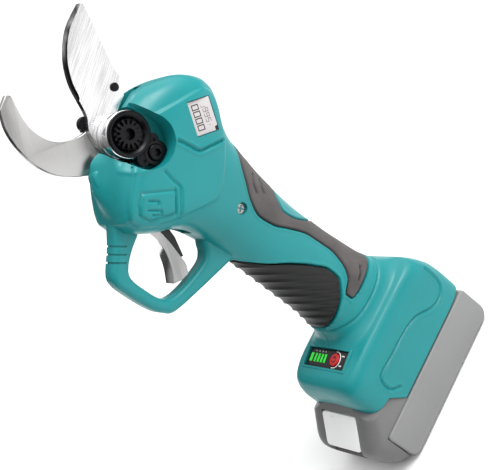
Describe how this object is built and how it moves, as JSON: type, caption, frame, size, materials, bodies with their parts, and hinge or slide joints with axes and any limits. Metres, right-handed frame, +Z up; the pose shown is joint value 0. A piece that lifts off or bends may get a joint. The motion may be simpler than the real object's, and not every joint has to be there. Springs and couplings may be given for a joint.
{
  "type": "battery electric pruner",
  "caption": "Cordless bypass pruner: hooked moving blade on a sector gear, trigger with guard, two-shell handle, slide-on battery with release button.",
  "frame": {"origin": "centre of the battery pack's flat underside, where the pruner stands", "axes": "+Z up the handle towards the blades, +X towards the back of the handle and head, -X towards the trigger, guard and release button, +Y the right-hand side; the housing halves meet at Y = 0"},
  "size_m": [0.1356, 0.075, 0.3496],
  "materials": {
    "housing": "satin moulded plastic",
    "grip": "soft ribbed overmould",
    "black_plastic": "moulded black plastic",
    "blade": "ground and brushed",
    "chrome": "bright plated",
    "black_steel": "black oxide",
    "gear_steel": "machined",
    "copper": "enamelled windings",
    "light_grey": "moulded light-grey plastic",
    "dark_grey": "moulded mid-grey plastic",
    "white_plastic": "white button plastic",
    "screen": "display window",
    "led_green": "lit indicator",
    "red_plastic": "red button",
    "board": "circuit board",
    "cell": "shrink sleeve",
    "wire_red": "insulated lead",
    "wire_black": "insulated lead"
  },
  "bodies": {
    "housing": {"blade_stop": "black_steel", "bolt_plate": "black_steel", "charge_lights": "led_green", "control_board": "board", "display_board": "board", "display_screen": "screen", "fixed_blade": "blade", "front_grip": "black_plastic", "gearbox_cover": "black_steel", "gearbox_ring": "black_steel", "housing_screw_1": "black_steel", "housing_screw_2": "black_steel", "housing_screw_3": "black_steel", "housing_screw_4": "black_steel", "housing_screw_5": "black_steel", "housing_screw_6": "black_steel", "left_shell": "housing", "lock_plate": "black_steel", "lock_screw": "black_steel", "motor_bearing": "chrome", "motor_can": "black_steel", "motor_end_cap": "black_plastic", "motor_lead_black": "wire_black", "motor_lead_red": "wire_red", "nut_cup": "chrome", "panel_board": "board", "pinion_bearing": "chrome", "pivot_bolt": "black_steel", "pivot_nut": "black_steel", "power_panel": "dark_grey", "power_switch": "black_plastic", "rear_grip": "grip", "right_shell": "housing", "seat_ring": "chrome", "spacer_ring": "chrome", "terminal_block": "black_plastic", "trigger_pin": "gear_steel", "trigger_spring": "gear_steel", "trigger_switch": "black_plastic"},
    "blade": {"moving_blade": "blade", "blade_pin": "gear_steel", "drive_gear": "gear_steel"},
    "pinion": {"drive_pinion": "gear_steel"},
    "rotor": {"motor_rotor": "copper"},
    "planet_1": {"planet_gear_1": "gear_steel"},
    "planet_2": {"planet_gear_2": "gear_steel"},
    "planet_3": {"planet_gear_3": "gear_steel"},
    "trigger": {"trigger": "chrome", "trigger_web": "black_plastic"},
    "power_button": {"power_button": "red_plastic"},
    "battery": {"battery_case": "light_grey", "battery_cover": "dark_grey", "battery_board": "board", "button_spring": "gear_steel", "battery_cell_1": "cell", "battery_cell_2": "cell", "battery_cell_3": "cell", "battery_cell_4": "cell", "battery_cell_5": "cell"},
    "release_button": {"release_button": "white_plastic"}
  },
  "joints": [
    {"name": "blade_pivot", "type": "hinge", "parent": "housing", "child": "blade", "pos_m": [0.0065, 0, 0.282], "axis": [0, -1, 0], "range_deg": [0, 58]},
    {"name": "pinion_spin", "type": "hinge", "parent": "housing", "child": "pinion", "pos_m": [0.00826, 0, 0.25746], "axis": [0.0715, 0, -0.9974], "range_deg": [0, 203.5]},
    {"name": "rotor_spin", "type": "hinge", "parent": "housing", "child": "rotor", "pos_m": [0.01079, 0, 0.22215], "axis": [0.0715, 0, -0.9974], "range_deg": [0, 813]},
    {"name": "planet_1_spin", "type": "hinge", "parent": "pinion", "child": "planet_1", "pos_m": [0.00922, 0.0088, 0.2441], "axis": [0.0715, 0, -0.9974], "range_deg": [-610, 0]},
    {"name": "planet_2_spin", "type": "hinge", "parent": "pinion", "child": "planet_2", "pos_m": [0.01682, -0.0044, 0.24464], "axis": [0.0715, 0, -0.9974], "range_deg": [-610, 0]},
    {"name": "planet_3_spin", "type": "hinge", "parent": "pinion", "child": "planet_3", "pos_m": [0.00161, -0.0044, 0.24355], "axis": [0.0715, 0, -0.9974], "range_deg": [-610, 0]},
    {"name": "trigger_pull", "type": "hinge", "parent": "housing", "child": "trigger", "pos_m": [-0.029, 0, 0.243], "axis": [0, -1, 0], "range_deg": [0, 10], "stiffness_Nm_per_rad": 1.2, "springref_deg": -8.59},
    {"name": "power_press", "type": "slide", "parent": "housing", "child": "power_button", "axis": [0.1392, 0, -0.9903], "range_m": [0, 0.001], "stiffness_N_per_m": 900, "springref_m": -0.0006},
    {"name": "battery_slide", "type": "slide", "parent": "housing", "child": "battery", "axis": [-1, 0, 0], "range_m": [0, 0.12]},
    {"name": "release_press", "type": "slide", "parent": "battery", "child": "release_button", "axis": [0, 0, -1], "range_m": [0, 0.004], "stiffness_N_per_m": 500, "springref_m": -0.003, "deforming": ["button_spring"]}
  ],
  "couplings": [
    {"joint": "pinion_spin", "follows": "blade_pivot", "ratio": 3.5},
    {"joint": "rotor_spin", "follows": "blade_pivot", "ratio": 14},
    {"joint": "planet_1_spin", "follows": "blade_pivot", "ratio": -10.5},
    {"joint": "planet_2_spin", "follows": "blade_pivot", "ratio": -10.5},
    {"joint": "planet_3_spin", "follows": "blade_pivot", "ratio": -10.5}
  ]
}
